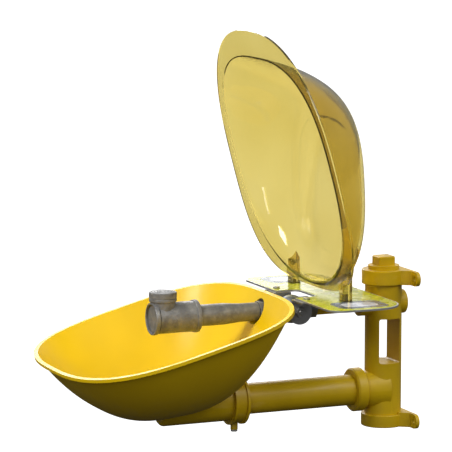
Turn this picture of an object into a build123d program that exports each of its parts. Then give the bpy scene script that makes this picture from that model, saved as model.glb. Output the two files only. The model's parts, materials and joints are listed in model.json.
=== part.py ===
from build123d import *
from math import atan, cos, degrees, pi, radians, sin
import os

# A wall-mounted eyewash station: a cast wall post carries a drain line below and a water
# line above.  The bowl hangs between them, pitched forwards, and the clear hinged cover
# is turned by the ball valve's own stem, so that opening the cover starts the water.
#
# Frame: the wall is the plane Y = 0, the user stands at -Y, +Z is up, and the origin is
# the centre of the four wall bolts.  Millimetres.  At rest the cover is open.

os.makedirs("parts", exist_ok=True)

# ---------------------------------------------------------------- driving dimensions
# overall places
post_reach = 30.0            # wall to the post's axis
post_height = 218.0
supply_z = 62.0              # water line above the bolts' centre
hinge_reach = 169.0          # wall to the valve stem, which is the cover's hinge
bowl_pitch = 15.0            # the bowl's rim is lower at the front
open_turn = 90.0             # the cover's quarter turn

# clearances
running = 0.05               # radial clearance of a turning shaft
moving_gap = 0.4             # between pieces that move past each other
slip = 0.3                   # a piece slipped over a tube
through = 2.0                # a cutter's run past the wall that it opens

# wall post
post_radius = 25.4
ring_radius = 30.0
top_ring_height = 20.0
bottom_ring_height = 17.0
ear_spacing = 90.0
ear_height = 20.0
ear_thickness = 5.0
web_reach = 18.0             # wall to where an ear's web meets the ring
bolt_hole_radius = 4.0
window_width = 31.0
window_corner = 3.0
window_above = 20.0          # water line's axis to the window's top
window_below = 37.0          # drain line's axis to its foot
drain_thread_radius = 19.45  # 1-1/4 inch pipe thread, minor radius
drain_thread_depth = 25.0
drain_passage_radius = 18.0
inlet_thread_radius = 9.3    # 1/2 inch pipe thread, minor radius
chamber_floor = 5.0          # metal left between the window and the water chamber
chamber_radius = 12.0
edge_round = 1.2

# plug in the post's top
plug_depth = 14.0
plug_collar_width = 2.05
plug_collar_height = 5.5
plug_square = 24.5
plug_square_height = 12.5

# drain line
drain_rise = 7.1             # bowl's flat floor to the drain line's axis
drain_pipe_radius = 21.1
drain_pipe_wall = 3.0
branch_wall = 2.9
branch_reach = 43.0          # post axis to the branch's end
pipe_socket_depth = 12.0
union_wall = 6.0
union_length = 16.0
union_front = 6.0            # of its length in front of the washer
union_chamfer = 2.0
union_relief = 1.0           # branch's root to the union nut
washer_thickness = 2.0
coupling_wall = 5.8
coupling_length = 21.0
coupling_back = 84.5         # hinge to the coupling's middle
coupling_rim = 3.5
coupling_waist = 2.2
clamp_boss_radius = 5.0
clamp_boss_drop = 7.0
clamp_head_height = 3.0

# receiver under the bowl
receiver_step = 6.6          # drain pipe's surface to the receiver's
receiver_wall = 3.5
receiver_length = 112.5
receiver_tail = 2.0          # of it behind the coupling's middle
receiver_round = 6.0
receiver_gap = 1.5           # between the bowl's underside and the receiver's saddle
receiver_land = 5.0          # gasket's width around the drain hole

# bowl
bowl_half_width = 174.5
bowl_half_length = 159.0
bowl_depth = 110.0
bowl_wall = 3.0
bowl_rear = 29.8             # hinge to the rim's rear, along the rim
rim_rise = 34.8              # hinge to the rim's plane
rim_lip = 2.5
rim_thickness = 4.5
front_power = 2.85           # squareness of the outline's corners
rear_power = 3.3
side_power = 0.943           # how the bowl's width closes with depth
floor_power = 2.68
floor_shift = 31.0           # the floor lies forward of the rim's middle
floor_level = 26.7           # and is nearer to level than the rim
floor_depth = 0.97           # share of the depth where the flat floor is
drain_hole_radius = 14.0
drain_hole_back = 15.0       # floor's middle to the drain hole

# strainer
strainer_flange_width = 5.0
strainer_flange = 2.0
strainer_skirt = 1.6
strainer_hole_radius = 1.8
strainer_rings = ((6.0, 8), (10.2, 14))
bridge_width = 9.0

# water line
supply_pipe_radius = 10.65   # 1/2 inch pipe
supply_pipe_wall = 2.65
supply_bore_radius = 7.0
supply_boss_wall = 5.85
supply_boss_reach = 39.0     # post axis to the boss's face
supply_socket_depth = 21.6
adapter_wall = 1.85          # pipe's surface to the adapter's flats
adapter_length = 10.0
adapter_socket = 6.0

# ball valve
ball_radius = 13.0
ball_bore = 6.5
body_wall = 6.5              # ball's surface to the body's bulge
tube_wall = 3.0
tail_length = 11.5           # seat to the valve's wall end
nose_length = 7.5            # seat to its bowl end
seat_bite = 0.5              # seat's far face behind the ball's surface
seat_step = 2.0              # ball's radius less the seat's
seat_length = 4.0
seat_engagement = 3.0        # of the seat held in the adapter
stem_radius = 4.0
tang_margin = 2.0            # bore to tang, and tang's root to the ball's surface
tang_width = 7.0
tang_thickness = 2.6
stem_boss_radius = 10.0
stem_boss_rise = 1.5         # boss's face beyond the body's bulge
packing_radius = 7.5
packing_depth = 4.0
packing_nut_flats = 17.0
packing_nut_height = 5.0
pivot_depth = 6.0
stem_nut_flats = 13.0
stem_nut_height = 5.0
stem_tip = 1.0
tip_chamfer = 0.6

# the water line's passage through the bowl's rear wall
wall_back = 34.0             # hinge to the thick place's outside
wall_seat = 8.0              # thickness between the two gaskets
boss_length = 23.0
boss_wall = 2.5              # around the lock nut's pocket
lock_nut_wall = 2.35         # pipe's surface to the nut's flats
lock_nut_height = 7.0
pocket_clearance = 2.49      # nut's corners to the pocket's wall
gasket_thickness = 1.5
gasket_inset = 0.5

# spray head
nut_gap = 1.0                # lock nut to the head pipe
nipple_bite = 10.0           # of the nipple screwed into the head pipe
head_wall = 1.75             # pipe's surface to the head pipe's neck
head_waist_radius = 12.6
head_waist_reach = 26.0
head_body_radius = 14.5
head_taper_reach = 50.0
head_pipe_length = 87.5
tee_radius = 20.7
tee_length = 59.0
tee_bore = 12.0
tee_round = 2.0
outlet_back = 10.0           # tee's face to the outlet's axis
outlet_radius = 17.0
outlet_rise = 28.0
tee_plug_radius = 19.0
tee_plug_thickness = 4.0
tee_plug_thread = 8.0
plug_relief_radius = 11.0
spray_flange_radius = 18.7
spray_flange_height = 8.0
spray_wall = 3.0
spray_thread_length = 8.0
spray_chamfer = 0.8
spray_plate_radius = 15.0
spray_plate_thickness = 2.0
spray_hole_radius = 0.9
spray_rings = ((3.5, 6), (7.5, 12), (11.5, 18))
regulator_thickness = 4.0
regulator_ring = 5.5
regulator_holes = 6
regulator_hole_radius = 1.4
screen_thickness = 1.0
screen_pitch = 3.0
screen_count = 5
screen_hole = 2.0

# cover
cover_gap = 1.0              # between the rim and the closed cover
cover_wall = 3.0
cover_rear_overlap = 7.0     # cover's flange beyond the bowl's outline
cover_front_overlap = 36.0
cover_front_power = 2.45
ledge_width = 9.5            # flange left beside the dome
dome_overlap = 1.0           # dome's length beyond the bowl's, at either end
dome_rear_power = 2.3
dome_front_power = 2.8
dome_depth = 63.0
dome_level = 40.0            # the dome's roof is level when the cover is closed
dome_shift = -41.0
dome_power = 1.24
dome_squareness = 7.5
dome_top = 0.985

# sign plate and its arms
plate_half_width = 152.0
plate_rise = 18.0            # hinge to the plate's underside
plate_thickness = 2.5
plate_forward = 9.0          # hinge to the plate's front edge
plate_post_gap = 6.0         # plate's rear edge to the post's ring
plate_front_corner = 22.0
plate_rear_corner = 42.0
notch_half_width = 31.0
notch_depth = 33.0
notch_corner = 10.0
label_inset = 2.0
label_thickness = 0.4
arm_gap = 1.0                # packing nut to the arm
arm_thickness = 3.0
arm_hub_radius = 17.0
arm_width = 24.0
arm_foot_length = 35.0
arm_screw_x = 50.0
foot_x = 84.0
foot_back = 42.0             # hinge to the cover's stand-offs
foot_width = 14.0
foot_depth = 14.0
foot_corner = 2.0
foot_reach = 45.0            # tall enough to be cut off by the dome
foot_screw_depth = 10.0

# the common screw
screw_radius = 2.5
screw_flats = 8.0
screw_head_radius = 4.5
screw_head_height = 3.0
screw_nut_height = 3.0
head_round = 1.0

# ---------------------------------------------------------------- derived sizes
web_half_width = (ring_radius ** 2 - (post_reach - web_reach) ** 2) ** 0.5 - edge_round
branch_radius = drain_pipe_radius + branch_wall
union_radius = branch_radius + union_wall
receiver_radius = drain_pipe_radius + receiver_step
coupling_radius = receiver_radius + coupling_wall
strainer_flange_radius = drain_hole_radius + strainer_flange_width
supply_boss_radius = supply_pipe_radius + supply_boss_wall
adapter_flats = 2 * (supply_pipe_radius + adapter_wall)
lock_nut_flats = 2 * (supply_pipe_radius + lock_nut_wall)
pocket_radius = lock_nut_flats / 3 ** 0.5 + pocket_clearance
boss_radius = pocket_radius + boss_wall
gasket_outer = pocket_radius - gasket_inset
head_neck_radius = supply_pipe_radius + head_wall
valve_radius = ball_radius + body_wall
valve_tube_radius = ball_radius + tube_wall
seat_back = ball_radius - seat_bite
seat_outer = ball_radius - seat_step
valve_back = seat_back + tail_length
valve_front = seat_back + nose_length
tang_end = ball_bore + tang_margin
tang_start = ball_radius - tang_margin
stem_boss_reach = valve_radius + stem_boss_rise
arm_inside = stem_boss_reach + packing_nut_height + arm_gap
stem_end = arm_inside + arm_thickness + stem_nut_height + stem_tip
spray_passage_radius = tee_bore - spray_wall
cover_half_width = bowl_half_width + rim_lip
cover_rear = bowl_half_length + cover_rear_overlap
cover_front = bowl_half_length + cover_front_overlap
dome_half_width = bowl_half_width - ledge_width
dome_half_length = bowl_half_length + dome_overlap
bowl_centre = bowl_rear + bowl_half_length
closed_rise = rim_rise + cover_gap
plate_depth = hinge_reach + plate_forward - post_reach - ring_radius - plate_post_gap

# ---------------------------------------------------------------- derived places
post_y = -post_reach
hinge_y = -hinge_reach
hinge = Vector(0, hinge_y, supply_z)
half_post = post_height / 2
ear_z = half_post - ear_height / 2
floor_along = bowl_centre + floor_shift * floor_depth
floor_up = rim_rise - bowl_depth * floor_depth
floor_z = supply_z - sin(radians(bowl_pitch)) * floor_along + cos(radians(bowl_pitch)) * floor_up
drain_z = floor_z + drain_rise
window_top = supply_z - window_above
window_bottom = drain_z + window_below
union_seat_y = post_y - branch_reach
union_back_y = union_seat_y + union_length - union_front
pipe_back_y = union_seat_y + pipe_socket_depth
coupling_y = hinge_y - coupling_back
coupling_back_y = coupling_y + coupling_length / 2
coupling_front_y = coupling_y - coupling_length / 2
receiver_back_y = coupling_y + receiver_tail
receiver_front_y = receiver_back_y - receiver_length
pipe_front_y = coupling_front_y - through
supply_back_y = post_y - supply_boss_reach + supply_socket_depth
valve_back_y = hinge_y + valve_back
adapter_back_y = valve_back_y + adapter_length
supply_front_y = adapter_back_y - adapter_socket
boss_back_y = hinge_y - wall_back
boss_front_y = boss_back_y - boss_length
pocket_y = boss_back_y - wall_seat
lock_nut_y = pocket_y - gasket_thickness
head_pipe_y = lock_nut_y - lock_nut_height - nut_gap
head_pipe_end_y = head_pipe_y - head_pipe_length
nipple_front_y = head_pipe_y - nipple_bite
tee_front_y = head_pipe_end_y - tee_length
outlet_y = tee_front_y + outlet_back


def pitched(turn, along, up, tilt=0.0):
    """A plane by its place from the hinge: along the rim, and up from it.

    turn swings it open about the hinge, and tilt levels the plane itself."""
    pitch = radians(bowl_pitch)
    y = -cos(pitch) * along - sin(pitch) * up
    z = -sin(pitch) * along + cos(pitch) * up
    swing = radians(turn)
    place = hinge + Vector(0, y * cos(swing) + z * sin(swing), -y * sin(swing) + z * cos(swing))
    lean = radians(bowl_pitch - turn - tilt)
    return Plane(origin=place, x_dir=(1, 0, 0), z_dir=(0, -sin(lean), cos(lean)))


def rounded_outline(half_width, rear, front, rear_squareness, front_squareness, count=32):
    """Points of an egg-like rounded rectangle, with +y at its rear."""
    points = []
    for index in range(count):
        angle = 2 * pi * index / count
        x = cos(angle)
        y = sin(angle)
        power = rear_squareness if y > 0 else front_squareness
        reach = (abs(x) ** power + abs(y) ** power) ** (-1 / power)
        length = rear if y > 0 else front
        points.append((half_width * reach * x, length * reach * y))
    return points


def bowl_station(share, shrink=0.0, drop=0.0):
    """The bowl's section at a share of its depth: its plane and its outline's points."""
    width_share = (1 - share ** side_power) ** (1 / floor_power)
    tilt = degrees(atan(floor_level * share / bowl_half_length))
    plane = pitched(0, bowl_centre + floor_shift * share, rim_rise - bowl_depth * share, tilt)
    width = bowl_half_width * width_share - shrink
    length = bowl_half_length * width_share - shrink
    return plane.offset(-drop), rounded_outline(width, length, length, rear_power, front_power)


def dome_station(share, shrink=0.0, drop=0.0):
    """The dome's section at a share of its height, in the open cover."""
    width_share = (1 - share ** dome_power) ** (1 / dome_squareness)
    tilt = degrees(atan(dome_level * share / dome_half_length))
    rise = closed_rise + dome_depth * share
    plane = pitched(open_turn, bowl_centre + dome_shift * share, rise, tilt)
    width = dome_half_width * width_share - shrink
    length = dome_half_length * width_share - shrink
    return plane.offset(-drop), rounded_outline(width, length, length, dome_rear_power, dome_front_power)


def rod(plane, spot, radius, length, mode=Mode.ADD):
    """A cylinder that starts on a plane at a spot and runs along its normal."""
    with BuildSketch(plane) as profile:
        with Locations(spot):
            Circle(radius)
    extrude(profile.sketch, amount=length, mode=mode)


def hexagon(plane, spot, flats, length, mode=Mode.ADD):
    """A hexagonal prism that starts on a plane at a spot and runs along its normal."""
    with BuildSketch(plane) as profile:
        with Locations(spot):
            RegularPolygon(flats / 2, 6, major_radius=False)
    extrude(profile.sketch, amount=length, mode=mode)


def facing_user(y):
    """A plane at a distance from the wall whose normal points at the user."""
    return Plane.XZ.offset(-y)


def facing_side(x):
    """A plane across the hinge whose normal is +X and whose origin is the hinge."""
    return Plane(origin=(x, hinge_y, supply_z), x_dir=(0, 1, 0), z_dir=(1, 0, 0))


def outline_face(plane, points):
    """The face inside one closed smooth curve through the points."""
    with BuildSketch(plane) as profile:
        with BuildLine():
            Spline(*points, periodic=True)
        make_face()
    return profile.sketch.face()


def export(piece, name):
    """Label a finished piece and write it."""
    piece.part.label = name
    export_step(piece.part, f"parts/{name}.step")


bowl_shares = (0.0, 0.12, 0.3, 0.5, 0.7, 0.86, floor_depth)
dome_shares = (0.0, 0.3, 0.6, 0.8, 0.92, dome_top)
on_axis = (0, 0)
water = (0, supply_z)
drain = (0, drain_z)
hinge_axis = Axis(hinge, (1, 0, 0))
hinge_section = Plane(origin=hinge, x_dir=(1, 0, 0), z_dir=(0, -1, 0))

# ---------------------------------------------------------------- wall post
with BuildPart() as wall_post:
    rod(Plane.XY.offset(-half_post), (0, post_y), post_radius, post_height)
    rod(Plane.XY.offset(half_post - top_ring_height), (0, post_y), ring_radius, top_ring_height)
    rod(Plane.XY.offset(-half_post), (0, post_y), ring_radius, bottom_ring_height)
    ring_edges = wall_post.edges().filter_by(GeomType.CIRCLE).filter_by(
        lambda edge: abs(edge.radius - ring_radius) < 0.01
    )
    fillet(ring_edges, edge_round)
    for side in (1, -1):
        with BuildSketch(facing_user(0)):
            with Locations((0, side * ear_z)):
                SlotCenterToCenter(ear_spacing, ear_height)
        extrude(amount=ear_thickness)
        with BuildSketch(Plane.XY.offset(side * ear_z - ear_height / 2)):
            with BuildLine():
                Polyline(
                    (-ear_spacing / 2 + ear_height / 2, -ear_thickness),
                    (-web_half_width, -web_reach),
                    (web_half_width, -web_reach),
                    (ear_spacing / 2 - ear_height / 2, -ear_thickness),
                    close=True,
                )
            make_face()
        extrude(amount=ear_height)
    # drain branch and its conical root, and the boss of the water line
    rod(facing_user(post_y), drain, branch_radius, branch_reach)
    with BuildSketch(facing_user(post_y)):
        with Locations(drain):
            Circle(ring_radius)
    with BuildSketch(facing_user(union_back_y + union_relief)):
        with Locations(drain):
            Circle(branch_radius)
    loft()
    rod(facing_user(0), water, supply_boss_radius, post_reach + supply_boss_reach)
    # window through the post
    with BuildSketch(Plane.YZ.offset(-ring_radius)):
        with Locations((post_y, (window_top + window_bottom) / 2)):
            RectangleRounded(window_width, window_top - window_bottom, window_corner)
    extrude(amount=2 * ring_radius, mode=Mode.SUBTRACT)
    # drain passage, open below and at the branch
    drain_top = drain_z + drain_passage_radius
    under = Plane.XY.offset(-half_post)
    rod(under, (0, post_y), drain_passage_radius, drain_top + half_post, Mode.SUBTRACT)
    rod(under, (0, post_y), drain_thread_radius, drain_thread_depth, Mode.SUBTRACT)
    rod(facing_user(post_y), drain, drain_pipe_radius - drain_pipe_wall, branch_reach, Mode.SUBTRACT)
    rod(
        facing_user(union_seat_y + pipe_socket_depth), drain, drain_pipe_radius, pipe_socket_depth,
        Mode.SUBTRACT,
    )
    # water chamber, open above, with the wall inlet behind and the pipe in front
    chamber_z = window_top + chamber_floor
    rod(Plane.XY.offset(chamber_z), (0, post_y), chamber_radius, half_post - chamber_z, Mode.SUBTRACT)
    rod(
        Plane.XY.offset(half_post), (0, post_y), drain_thread_radius, -plug_depth - through, Mode.SUBTRACT
    )
    rod(facing_user(0), water, inlet_thread_radius, post_reach, Mode.SUBTRACT)
    rod(facing_user(post_y), water, supply_pipe_radius, supply_boss_reach, Mode.SUBTRACT)
    # bolt holes
    with BuildSketch(facing_user(0)):
        with GridLocations(ear_spacing, 2 * ear_z, 2, 2):
            Circle(bolt_hole_radius)
    extrude(amount=ear_thickness * 2, mode=Mode.SUBTRACT)
export(wall_post, "wall_post")

with BuildPart() as top_plug:
    rod(Plane.XY.offset(half_post - plug_depth), (0, post_y), drain_thread_radius, plug_depth)
    collar_radius = drain_thread_radius + plug_collar_width
    rod(Plane.XY.offset(half_post), (0, post_y), collar_radius, plug_collar_height)
    with BuildSketch(Plane.XY.offset(half_post + plug_collar_height)):
        with Locations((0, post_y)):
            Rectangle(plug_square, plug_square)
    extrude(amount=plug_square_height)
    upright = top_plug.edges().filter_by(Axis.Z)
    fillet(upright, 2 * edge_round)
    chamfer(top_plug.faces().sort_by(Axis.Z)[-1].edges(), edge_round)
export(top_plug, "top_plug")

# ---------------------------------------------------------------- drain line
with BuildPart() as drain_union_nut:
    rod(facing_user(union_back_y), drain, union_radius, union_length)
    chamfer(drain_union_nut.edges(), union_chamfer)
    union_hollow = union_length - union_front + washer_thickness
    rod(facing_user(union_back_y), drain, branch_radius, union_hollow, Mode.SUBTRACT)
    rod(facing_user(union_back_y), drain, drain_pipe_radius + slip, union_length, Mode.SUBTRACT)
export(drain_union_nut, "drain_union_nut")

with BuildPart() as drain_union_washer:
    rod(facing_user(union_seat_y), drain, branch_radius, washer_thickness)
    rod(facing_user(union_seat_y), drain, drain_pipe_radius, washer_thickness, Mode.SUBTRACT)
export(drain_union_washer, "drain_union_washer")

with BuildPart() as drain_pipe:
    rod(facing_user(pipe_back_y), drain, drain_pipe_radius, pipe_back_y - pipe_front_y)
    rod(
        facing_user(pipe_back_y), drain, drain_pipe_radius - drain_pipe_wall, pipe_back_y - pipe_front_y,
        Mode.SUBTRACT,
    )
export(drain_pipe, "drain_pipe")

gasket_back_y = coupling_back_y - coupling_rim
with BuildPart() as drain_coupling:
    rod(facing_user(coupling_back_y), drain, coupling_radius - coupling_waist, coupling_length)
    rod(facing_user(coupling_back_y), drain, coupling_radius, coupling_rim)
    rod(facing_user(coupling_front_y + coupling_rim), drain, coupling_radius, coupling_rim)
    clamp_plane = Plane.XY.offset(drain_z - coupling_radius - clamp_boss_drop)
    clamp_length = clamp_boss_drop + coupling_wall
    rod(clamp_plane, (0, coupling_y), clamp_boss_radius, clamp_length - slip)
    rod(facing_user(gasket_back_y), drain, receiver_radius, coupling_length, Mode.SUBTRACT)
    rod(facing_user(coupling_back_y), drain, drain_pipe_radius + slip, coupling_rim, Mode.SUBTRACT)
    rod(clamp_plane, (0, coupling_y), screw_radius, clamp_length, Mode.SUBTRACT)
export(drain_coupling, "drain_coupling")

with BuildPart() as coupling_gasket:
    gasket_length = gasket_back_y - receiver_back_y
    rod(facing_user(gasket_back_y), drain, receiver_radius, gasket_length)
    rod(facing_user(gasket_back_y), drain, drain_pipe_radius, gasket_length, Mode.SUBTRACT)
export(coupling_gasket, "coupling_gasket")

with BuildPart() as clamp_screw:
    rod(clamp_plane, (0, coupling_y), screw_radius, clamp_length)
    hexagon(clamp_plane, (0, coupling_y), screw_flats, -clamp_head_height)
export(clamp_screw, "clamp_screw")

# ---------------------------------------------------------------- bowl
with BuildPart() as bowl_outside:
    faces = [outline_face(*bowl_station(share)) for share in bowl_shares]
    loft(faces)

with BuildPart() as bowl_inside:
    faces = []
    for share in bowl_shares:
        faces.append(outline_face(*bowl_station(share, bowl_wall, -bowl_wall * share / floor_depth)))
    loft(faces)

floor_plane = bowl_station(floor_depth)[0]
with BuildPart() as bowl:
    add(bowl_outside.part)
    rim_points = rounded_outline(
        bowl_half_width + rim_lip, bowl_half_length + rim_lip, bowl_half_length + rim_lip,
        rear_power, front_power,
    )
    extrude(outline_face(pitched(0, bowl_centre, rim_rise), rim_points), amount=-rim_thickness)
    rod(facing_user(boss_back_y), water, boss_radius, boss_back_y - boss_front_y)
    add(bowl_inside.part, mode=Mode.SUBTRACT)
    rod(facing_user(pocket_y), water, pocket_radius, boss_length, Mode.SUBTRACT)
    rod(facing_user(boss_back_y), water, supply_pipe_radius + slip, boss_length, Mode.SUBTRACT)
    rod(
        floor_plane.offset(-through), (0, drain_hole_back), drain_hole_radius, bowl_wall + 2 * through,
        Mode.SUBTRACT,
    )
export(bowl, "bowl")

with BuildPart() as bowl_strainer:
    strainer_plane = floor_plane.offset(bowl_wall)
    rod(strainer_plane, (0, drain_hole_back), strainer_flange_radius, strainer_flange)
    skirt_length = bowl_wall + receiver_gap
    skirt_radius = drain_hole_radius - slip
    rod(strainer_plane.offset(-skirt_length), (0, drain_hole_back), skirt_radius, skirt_length)
    rod(
        strainer_plane.offset(-skirt_length), (0, drain_hole_back), skirt_radius - strainer_skirt,
        skirt_length, Mode.SUBTRACT,
    )
    with BuildSketch(strainer_plane):
        with Locations((0, drain_hole_back)):
            Circle(screw_radius)
            for ring, count in strainer_rings:
                with PolarLocations(ring, count):
                    Circle(strainer_hole_radius)
    extrude(amount=strainer_flange, mode=Mode.SUBTRACT)
export(bowl_strainer, "bowl_strainer")

saddle_plane = floor_plane.offset(-receiver_gap)
with BuildPart() as strainer_screw:
    shank = strainer_flange + bowl_wall + receiver_gap + receiver_wall + through
    shank_plane = strainer_plane.offset(strainer_flange - shank)
    rod(shank_plane, (0, drain_hole_back), screw_radius, shank)
    rod(strainer_plane.offset(strainer_flange), (0, drain_hole_back), screw_head_radius, screw_head_height)
    fillet(strainer_screw.faces().sort_by(Axis.Z)[-1].edges(), head_round)
export(strainer_screw, "strainer_screw")

with BuildPart() as receiver_gasket:
    rod(saddle_plane, (0, drain_hole_back), drain_hole_radius + receiver_land, receiver_gap)
    rod(saddle_plane, (0, drain_hole_back), drain_hole_radius, receiver_gap, Mode.SUBTRACT)
export(receiver_gasket, "receiver_gasket")

with BuildPart() as saddle_top:
    faces = [outline_face(*bowl_station(share, -receiver_gap, receiver_gap)) for share in bowl_shares]
    loft(faces)

with BuildPart() as saddle_under:
    depth = receiver_gap + receiver_wall
    faces = [outline_face(*bowl_station(share, -depth, depth)) for share in bowl_shares]
    loft(faces)

with BuildPart() as receiver_hollow:
    rod(
        facing_user(receiver_back_y), drain, receiver_radius - receiver_wall,
        receiver_back_y - receiver_front_y - receiver_wall,
    )
    add(saddle_under.part, mode=Mode.SUBTRACT)

with BuildPart() as drain_receiver:
    rod(facing_user(receiver_back_y), drain, receiver_radius, receiver_back_y - receiver_front_y)
    fillet(drain_receiver.faces().sort_by(Axis.Y)[0].edges(), receiver_round)
    add(saddle_top.part, mode=Mode.SUBTRACT)
    add(receiver_hollow.part, mode=Mode.SUBTRACT)
    with BuildSketch(saddle_plane):
        with Locations((0, drain_hole_back)):
            Circle(drain_hole_radius)
            Rectangle(2 * drain_hole_radius, bridge_width, mode=Mode.SUBTRACT)
    extrude(amount=-receiver_wall - through, mode=Mode.SUBTRACT)
    rod(saddle_plane, (0, drain_hole_back), screw_radius, -receiver_wall - 2 * through, Mode.SUBTRACT)
export(drain_receiver, "drain_receiver")

# ---------------------------------------------------------------- water line
with BuildPart() as supply_pipe:
    supply_length = supply_back_y - supply_front_y
    supply_inner_radius = supply_pipe_radius - supply_pipe_wall
    rod(facing_user(supply_back_y), water, supply_pipe_radius, supply_length)
    rod(facing_user(supply_back_y), water, supply_inner_radius, supply_length, Mode.SUBTRACT)
export(supply_pipe, "supply_pipe")

nipple_back_y = hinge_y - valve_front + adapter_socket
spigot = tail_length + seat_engagement
with BuildPart() as valve_adapter:
    hexagon(facing_user(adapter_back_y), water, adapter_flats, adapter_length)
    rod(facing_user(valve_back_y), water, ball_radius + moving_gap, spigot)
    rod(facing_user(adapter_back_y), water, supply_bore_radius, adapter_length + spigot, Mode.SUBTRACT)
    rod(facing_user(adapter_back_y), water, supply_pipe_radius, adapter_socket, Mode.SUBTRACT)
    rod(facing_user(hinge_y + seat_back), water, seat_outer, seat_engagement + through, Mode.SUBTRACT)
export(valve_adapter, "valve_adapter")

with BuildPart() as valve_body:
    rod(facing_user(valve_back_y), water, valve_tube_radius, valve_back + valve_front)
    shoulder = (valve_radius ** 2 - stem_boss_radius ** 2) ** 0.5
    with BuildSketch(hinge_section) as bulge:
        with BuildLine():
            ThreePointArc((-shoulder, stem_boss_radius), (0, valve_radius), (shoulder, stem_boss_radius))
            Polyline(
                (shoulder, stem_boss_radius),
                (stem_boss_reach, stem_boss_radius),
                (stem_boss_reach, 0),
                (-stem_boss_reach, 0),
                (-stem_boss_reach, stem_boss_radius),
                (-shoulder, stem_boss_radius),
            )
        make_face()
    revolve(bulge.sketch, axis=hinge_axis)
    cavity = valve_back + seat_back - seat_length
    rod(facing_user(valve_back_y), water, ball_radius + moving_gap, cavity, Mode.SUBTRACT)
    rod(facing_user(hinge_y), water, seat_outer, seat_back, Mode.SUBTRACT)
    rod(facing_user(hinge_y), water, supply_bore_radius, valve_front, Mode.SUBTRACT)
    rod(facing_user(nipple_back_y), water, supply_pipe_radius, adapter_socket, Mode.SUBTRACT)
    rod(facing_side(0), on_axis, stem_radius + running, stem_boss_reach, Mode.SUBTRACT)
    rod(facing_side(stem_boss_reach - packing_depth), on_axis, packing_radius, packing_depth, Mode.SUBTRACT)
    rod(facing_side(-stem_boss_reach), on_axis, stem_radius, pivot_depth, Mode.SUBTRACT)
export(valve_body, "valve_body")

with BuildPart() as valve_seats:
    for start in (hinge_y + seat_back, hinge_y - seat_back + seat_length):
        rod(facing_user(start), water, seat_outer, seat_length)
        rod(facing_user(start), water, supply_bore_radius, seat_length, Mode.SUBTRACT)
    with Locations(hinge):
        Sphere(ball_radius + slip, mode=Mode.SUBTRACT)
export(valve_seats, "valve_seats")

with BuildPart() as valve_ball:
    flat_radius = (ball_radius ** 2 - tang_start ** 2) ** 0.5
    with BuildSketch(hinge_section) as half_ball:
        with BuildLine():
            ThreePointArc((-ball_radius, 0), (0, ball_radius), (tang_start, flat_radius))
            Polyline((tang_start, flat_radius), (tang_start, 0), (-ball_radius, 0))
        make_face()
    revolve(half_ball.sketch, axis=hinge_axis)
    rod(facing_user(hinge_y + ball_radius), water, ball_bore, 2 * ball_radius, Mode.SUBTRACT)
    with BuildSketch(facing_side(tang_end)):
        Rectangle(tang_width, tang_thickness)
    extrude(amount=tang_start - tang_end, mode=Mode.SUBTRACT)
export(valve_ball, "valve_ball")

with BuildPart() as valve_stem:
    rod(facing_side(tang_start), on_axis, stem_radius, stem_end - tang_start)
    chamfer(valve_stem.faces().sort_by(Axis.X)[-1].edges(), tip_chamfer)
    with BuildSketch(facing_side(tang_end)):
        Rectangle(tang_width, tang_thickness)
    extrude(amount=tang_start - tang_end)
export(valve_stem, "valve_stem")

with BuildPart() as stem_packing:
    packing_plane = facing_side(stem_boss_reach - packing_depth)
    rod(packing_plane, on_axis, packing_radius, packing_depth)
    rod(packing_plane, on_axis, stem_radius + running, packing_depth, Mode.SUBTRACT)
export(stem_packing, "stem_packing")

with BuildPart() as packing_nut:
    hexagon(facing_side(stem_boss_reach), on_axis, packing_nut_flats, packing_nut_height)
    rod(facing_side(stem_boss_reach), on_axis, stem_radius + running, packing_nut_height, Mode.SUBTRACT)
export(packing_nut, "packing_nut")

with BuildPart() as stem_nut:
    arm_face = facing_side(arm_inside + arm_thickness)
    hexagon(arm_face, on_axis, stem_nut_flats, stem_nut_height)
    rod(arm_face, on_axis, stem_radius, stem_nut_height, Mode.SUBTRACT)
export(stem_nut, "stem_nut")

spacer_end = arm_inside - moving_gap
with BuildPart() as pivot_spacer:
    rod(facing_side(-spacer_end), on_axis, stem_boss_radius, spacer_end - stem_boss_reach)
    rod(facing_side(-spacer_end), on_axis, stem_radius, spacer_end - stem_boss_reach, Mode.SUBTRACT)
export(pivot_spacer, "pivot_spacer")

pivot_nut_x = arm_inside + arm_thickness + moving_gap
with BuildPart() as pivot_pin:
    rod(facing_side(-stem_end), on_axis, stem_radius, stem_end - stem_boss_reach + pivot_depth)
    chamfer(pivot_pin.faces().sort_by(Axis.X)[0].edges(), tip_chamfer)
export(pivot_pin, "pivot_pin")

with BuildPart() as pivot_nut:
    hexagon(facing_side(-pivot_nut_x), on_axis, stem_nut_flats, -stem_nut_height)
    rod(facing_side(-pivot_nut_x), on_axis, stem_radius, -stem_nut_height, Mode.SUBTRACT)
export(pivot_nut, "pivot_nut")

with BuildPart() as outlet_nipple:
    nipple_length = nipple_back_y - nipple_front_y
    rod(facing_user(nipple_back_y), water, supply_pipe_radius, nipple_length)
    rod(facing_user(nipple_back_y), water, supply_bore_radius, nipple_length, Mode.SUBTRACT)
export(outlet_nipple, "outlet_nipple")

with BuildPart() as wall_gaskets:
    for start in (boss_back_y + gasket_thickness, pocket_y):
        rod(facing_user(start), water, gasket_outer, gasket_thickness)
        rod(facing_user(start), water, supply_pipe_radius, gasket_thickness, Mode.SUBTRACT)
export(wall_gaskets, "wall_gaskets")

for name, start in (
    ("outer_lock_nut", boss_back_y + gasket_thickness + lock_nut_height),
    ("inner_lock_nut", lock_nut_y),
):
    with BuildPart() as lock_nut:
        hexagon(facing_user(start), water, lock_nut_flats, lock_nut_height)
        rod(facing_user(start), water, supply_pipe_radius, lock_nut_height, Mode.SUBTRACT)
    export(lock_nut, name)

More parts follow.
